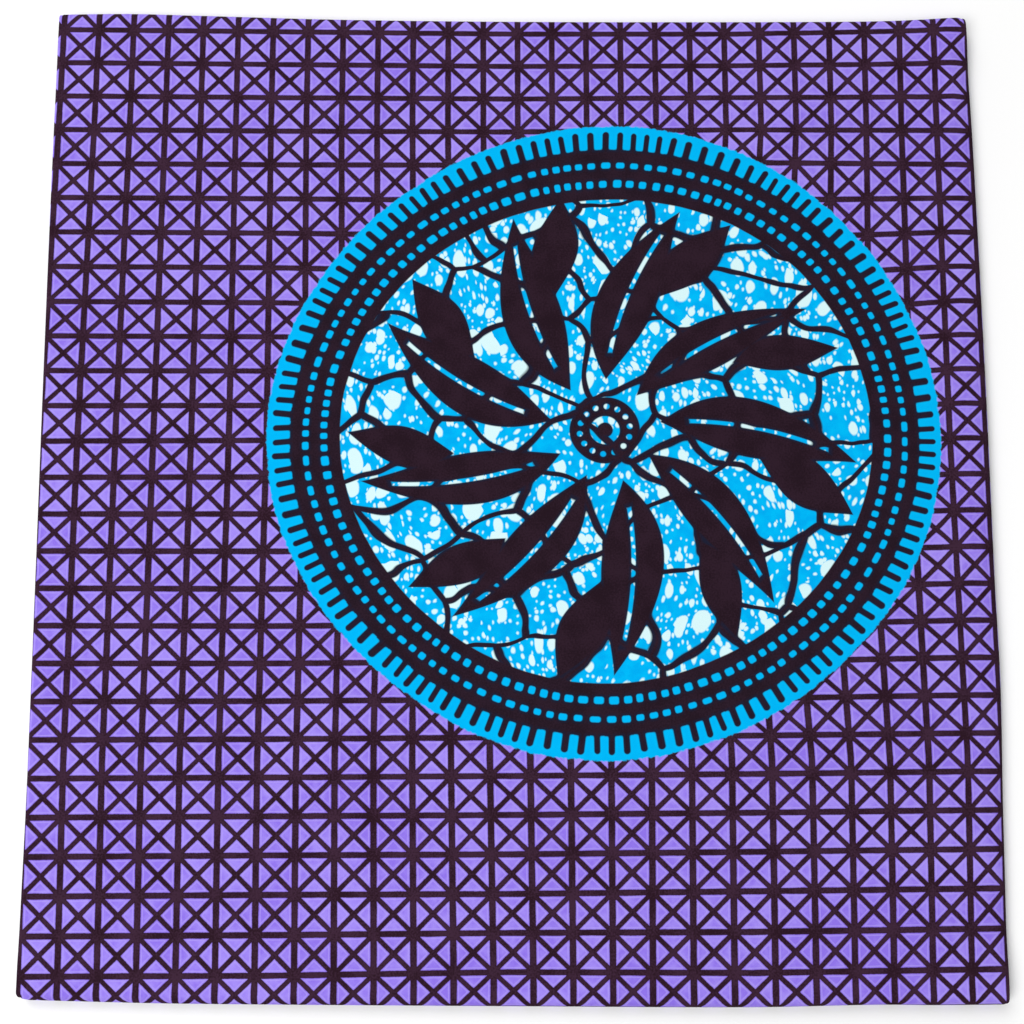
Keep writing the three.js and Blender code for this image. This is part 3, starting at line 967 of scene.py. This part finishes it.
def thread_tree(material):
    """Geometry Nodes that stand short, curled thread ends along an edge."""
    tree = bpy.data.node_groups.new("cut_end_threads", "GeometryNodeTree")
    tree.interface.new_socket("Geometry", in_out="INPUT", socket_type="NodeSocketGeometry")
    sizes = {}
    for label in ("Spacing", "Length", "Thickness", "Seed"):
        kind = "NodeSocketInt" if label == "Seed" else "NodeSocketFloat"
        sizes[label] = tree.interface.new_socket(label, in_out="INPUT", socket_type=kind).identifier
    tree.interface.new_socket("Geometry", in_out="OUTPUT", socket_type="NodeSocketGeometry")
    nodes = Nodes(tree)
    source = tree.nodes.new("NodeGroupInput")
    given = {socket.name: Wire(nodes, socket) for socket in source.outputs if socket.name}

    edge = nodes.add("GeometryNodeMeshToCurve", None, {"Mesh": given["Geometry"]})
    spaced = {"Curve": edge, "Length": given["Spacing"]}
    stations = nodes.add("GeometryNodeResampleCurve", {"mode": "LENGTH"}, spaced)
    spine = nodes.add("GeometryNodeCurveQuadraticBezier", None, {
        "Resolution": 4,
        "Start": (0.0, 0.0, 0.0),
        "Middle": (0.0, 0.6, 0.0),
        "End": (0.35, 1.0, 0.0),
    })
    round_wire = nodes.add("GeometryNodeCurvePrimitiveCircle", None, {"Resolution": 5, "Radius": 0.04})
    sections = {"Curve": spine, "Profile Curve": round_wire, "Fill Caps": True}
    thread = nodes.add("GeometryNodeCurveToMesh", None, sections)

    def chance(kind, low, high, offset):
        first_input, output = RANDOM_SOCKETS[kind]
        seed = nodes.add("ShaderNodeMath", {"operation": "ADD"}, {0: given["Seed"], 1: float(offset)})
        inputs = {first_input: low, first_input + 1: high, "Seed": seed}
        return nodes.add("FunctionNodeRandomValue", {"data_type": kind}, inputs, output)

    turn = chance("FLOAT_VECTOR", (-0.04, -0.04, -0.8), (0.02, 0.04, 0.8), 1)
    size = chance("FLOAT", 0.45, 1.2, 2) * given["Length"]
    placed = nodes.add("GeometryNodeInstanceOnPoints", None, {
        "Points": stations,
        "Instance": thread,
        "Rotation": turn,
        "Scale": nodes.add("ShaderNodeCombineXYZ", None, {0: size, 1: size, 2: given["Thickness"] * 12.5}),
    })
    solid = nodes.add("GeometryNodeRealizeInstances", None, {"Geometry": placed})
    finished = nodes.add("GeometryNodeSetMaterial", None, {"Geometry": solid, "Material": material})
    nodes.add("NodeGroupOutput", None, {"Geometry": finished})
    return tree, sizes


def cut_end_line():
    """The cut end on the underside, between its two rounded side edges, as a line of mesh edges."""
    reach = HALF_WIDTH - THREADS_INSET
    x = np.linspace(-reach, reach, 60)
    y = np.full_like(x, CUT_END_Y)
    line = place(x, y, np.full_like(x, THREADS_Z))
    mesh = bpy.data.meshes.new("cut_end")
    mesh.from_pydata(line.tolist(), [(i, i + 1) for i in range(len(line) - 1)], [])
    return new_object("cut_end", mesh)


def plain_floor(radius):
    """A round, pale studio floor just under the cloth."""
    steps = 96
    turns = [2 * math.pi * i / steps for i in range(steps)]
    ring = [(radius * math.cos(turn), radius * math.sin(turn), -FLOOR_GAP) for turn in turns]
    mesh = bpy.data.meshes.new("floor")
    mesh.from_pydata(ring, [], [list(range(steps))])
    return new_object("floor", mesh)


def pale_paper():
    """The floor's finish: matt white, a little uneven."""
    material, nodes = new_material("pale_paper")
    place_on_floor = nodes.add("ShaderNodeTexCoord", None, None, output=3)
    tone = nodes.noise(place_on_floor, 0.4)
    colour = nodes.mix(tone, paint((0.977, 0.977, 0.977)), paint((0.983, 0.983, 0.981)))
    nodes.surface({"Base Color": colour, "Roughness": 0.9, "Specular IOR Level": 0.1})
    return material


def soft_light(name, stand, power):
    """A round soft box that is aimed at the middle of the cloth."""
    lamp = bpy.data.lights.new(name, "AREA")
    lamp.shape = "DISK"
    lamp.size = stand["size"]
    lamp.energy = power
    light = new_object(name, lamp)
    aim = -Vector(stand["at"])
    light.matrix_world = Matrix.Translation(stand["at"]) @ aim.to_track_quat("-Z", "Y").to_matrix().to_4x4()


def photo_camera():
    """The camera, looking down on the cloth from a little in front of it."""
    data = bpy.data.cameras.new("camera")
    data.sensor_width = 36
    data.lens = CAMERA_LENS
    data.clip_start = 0.01
    data.clip_end = 100
    camera = new_object("camera", data)
    forward = Vector((0, math.sin(CAMERA_TILT), -math.cos(CAMERA_TILT)))
    level_up = Vector((0, math.cos(CAMERA_TILT), math.sin(CAMERA_TILT)))
    level_right = Vector((1, 0, 0))
    right = math.cos(CAMERA_ROLL) * level_right + math.sin(CAMERA_ROLL) * level_up
    up = math.cos(CAMERA_ROLL) * level_up - math.sin(CAMERA_ROLL) * level_right
    turned = Matrix((right, up, -forward)).transposed().to_4x4()
    stand = Vector(CAMERA_TARGET) - CAMERA_DISTANCE * forward
    camera.matrix_world = Matrix.Translation(stand) @ turned
    bpy.context.scene.camera = camera


def cotton_material():
    found = bpy.data.materials.get(COTTON)
    return found or printed_cotton(bpy.context.scene.wax_print_colours)


def finish_piece(piece, node=None):
    """The piece takes the print, rides on the one body and stands for its solid."""
    if not piece.data.materials:
        piece.data.materials.append(cotton_material())
    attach(piece, "root")
    if node:
        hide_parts(node)


def length_property(name, description, default, least, most):
    """A length whose numbers are given in millimetres."""
    return FloatProperty(
        name=name, description=description,
        default=default * MM, min=least * MM, max=most * MM, unit="LENGTH",
    )


class WaxPrintSizes(bpy.types.PropertyGroup):
    """Sizes of the surfaces that a user would change."""

    top_spacing: length_property("Top spacing", "Distance between the points of the top panel", 4, 2, 20)
    thread_spacing: length_property("Thread spacing", "Between loose threads along the cut end", 2.6, 1, 20)
    thread_length: length_property("Thread length", "How far the longest threads stand out", 2.2, 0.5, 6)
    thread_thickness: length_property("Thread thickness", "Thickness of one yarn", 0.16, 0.05, 1)
    thread_seed: IntProperty(name="Thread seed", description="Another number gives other threads", default=7)
    floor_radius: length_property("Floor radius", "How far the floor reaches", 9000, 1000, 50000)


def colour_property(name, description, default):
    return FloatVectorProperty(
        name=name, description=description, default=default, min=0, max=1, size=3, subtype="COLOR_GAMMA",
    )


class WaxPrintColours(bpy.types.PropertyGroup):
    """Colours of the print, as they are seen on a screen."""

    purple: colour_property("Purple", "Ground of the lattice", (0.611, 0.524, 0.911))
    purple_deep: colour_property("Deep purple", "Where the ground took more dye", (0.541, 0.437, 0.873))
    purple_pale: colour_property("Pale purple", "Ground along the printed lines", (0.668, 0.597, 0.917))
    plum: colour_property("Plum", "Lattice", (0.235, 0.147, 0.216))
    plum_deep: colour_property("Deep plum", "Where the lattice is darkest", (0.160, 0.088, 0.130))
    plum_edge: colour_property("Plum outline", "Outline of the lattice", (0.175, 0.088, 0.150))
    ring: colour_property("Ring", "Dark print of the roundel's ring", (0.168, 0.110, 0.158))
    ring_deep: colour_property("Deep ring", "Where the ring is darkest", (0.134, 0.088, 0.126))
    leaf: colour_property("Leaf", "Leaves and branches in the roundel", (0.176, 0.112, 0.158))
    leaf_deep: colour_property("Deep leaf", "Where the leaves are darkest", (0.138, 0.084, 0.120))
    blue_black: colour_property("Blue black", "Dark print's outline on cyan", (0.096, 0.124, 0.206))
    cyan: colour_property("Cyan", "Ground of the roundel", (0.000, 0.707, 0.937))
    cyan_deep: colour_property("Deep cyan", "Where the roundel took more dye", (0.000, 0.651, 0.910))
    white: colour_property("White", "Flecks where no dye took", (0.816, 0.931, 0.942))


def power_property(name, description, default):
    return FloatProperty(name=name, description=description, default=default, min=0)


class WaxPrintLights(bpy.types.PropertyGroup):
    """Strengths of the studio's lights."""

    key: power_property("Key light", "Power of the low light from the far left", 188.0)
    overhead: power_property("Overhead light", "Power of the soft box above", 55.5)
    room: power_property("Room light", "Strength of the light from all round", 0.36)


class WAX_PRINT_OT_outer_turn(bpy.types.Operator):
    """Make the printed outer turn of the folded cloth."""

    bl_idname = "wax_print.outer_turn"
    bl_label = "Outer turn"

    def execute(self, context):
        middle, cloth = outer_turn_surface(context.scene.wax_print_sizes.top_spacing)
        piece = cloth_mesh("printed_outer_turn", middle, cloth, OUTER_SKIN, INNER_SKIN, cut_rows=(0,))
        finish_piece(piece, "outer_turn")
        return {"FINISHED"}


class WAX_PRINT_OT_hidden_turns(bpy.types.Operator):
    """Make the turns inside the outer one, with the folded edge of each layer."""

    bl_idname = "wax_print.hidden_turns"
    bl_label = "Hidden turns"

    def execute(self, context):
        middle, cloth = hidden_turns_surface(HIDDEN_CLOTH_STARTS)
        piece = cloth_mesh("folded_hidden_turns", middle, cloth, HIDDEN_PLY / 2, HIDDEN_PLY / 2)
        finish_piece(piece, "inner_layers")
        return {"FINISHED"}


class WAX_PRINT_OT_cut_threads(bpy.types.Operator):
    """Make the loose threads of the cut end on the underside."""

    bl_idname = "wax_print.cut_threads"
    bl_label = "Cut end threads"

    def execute(self, context):
        sizes = context.scene.wax_print_sizes
        edge = cut_end_line()
        tree, sockets = thread_tree(cotton_material())
        modifier = edge.modifiers.new("threads", "NODES")
        modifier.node_group = tree
        for label, socket in sockets.items():
            modifier[socket] = getattr(sizes, "thread_" + label.lower())
        context.view_layer.update()
        made = bpy.data.meshes.new_from_object(edge.evaluated_get(context.evaluated_depsgraph_get()))
        bpy.data.objects.remove(edge)
        if not made.polygons:
            raise RuntimeError("the cut end got no threads")
        corners = np.array([made.vertices[loop.vertex_index].co[:2] for loop in made.loops])
        corners[:, 1] = CUT_END_Y - 2 * HALF_DEPTH
        set_cloth_maps(made, corners)
        made.materials.clear()
        made.polygons.foreach_set("material_index", [0] * len(made.polygons))
        made.shade_smooth()
        finish_piece(new_object("cut_end_threads", made))
        return {"FINISHED"}


class WAX_PRINT_OT_stage(bpy.types.Operator):
    """Make the pale floor, the soft lights and the camera."""

    bl_idname = "wax_print.stage"
    bl_label = "Stage"

    def execute(self, context):
        lights = context.scene.wax_print_lights
        floor = plain_floor(context.scene.wax_print_sizes.floor_radius)
        floor.data.materials.append(pale_paper())
        soft_light("key_light", KEY_LIGHT, lights.key)
        soft_light("overhead_light", OVERHEAD_LIGHT, lights.overhead)
        world = bpy.data.worlds.new("pale_room")
        world.use_nodes = True
        background = world.node_tree.nodes["Background"]
        background.inputs["Color"].default_value = (1.0, 1.0, 1.0, 1.0)
        background.inputs["Strength"].default_value = lights.room
        context.scene.world = world
        context.scene.view_settings.view_transform = "Standard"
        photo_camera()
        return {"FINISHED"}


class WAX_PRINT_PT_sidebar(bpy.types.Panel):
    """The cloth's pieces, sizes, colours and lights."""

    bl_label = "Wax Print"
    bl_idname = "WAX_PRINT_PT_sidebar"
    bl_space_type = "VIEW_3D"
    bl_region_type = "UI"
    bl_category = "Wax Print"

    def draw(self, context):
        for operator in OPERATORS:
            self.layout.operator(operator.bl_idname)
        for group_name in GROUPS:
            group = getattr(context.scene, group_name)
            for name in group.__annotations__:
                self.layout.prop(group, name)


OPERATORS = (
    WAX_PRINT_OT_outer_turn,
    WAX_PRINT_OT_hidden_turns,
    WAX_PRINT_OT_cut_threads,
    WAX_PRINT_OT_stage,
)
GROUPS = {
    "wax_print_sizes": WaxPrintSizes,
    "wax_print_colours": WaxPrintColours,
    "wax_print_lights": WaxPrintLights,
}


def register():
    for group_name, group in GROUPS.items():
        bpy.utils.register_class(group)
        setattr(bpy.types.Scene, group_name, PointerProperty(type=group))
    for part in (*OPERATORS, WAX_PRINT_PT_sidebar):
        bpy.utils.register_class(part)


def unregister():
    for part in (WAX_PRINT_PT_sidebar, *reversed(OPERATORS)):
        bpy.utils.unregister_class(part)
    for group_name, group in reversed(GROUPS.items()):
        delattr(bpy.types.Scene, group_name)
        bpy.utils.unregister_class(group)


def main():
    register()
    bpy.ops.wax_print.outer_turn()
    bpy.ops.wax_print.hidden_turns()
    bpy.ops.wax_print.cut_threads()
    bpy.ops.wax_print.stage()


if __name__ == "__main__":
    main()
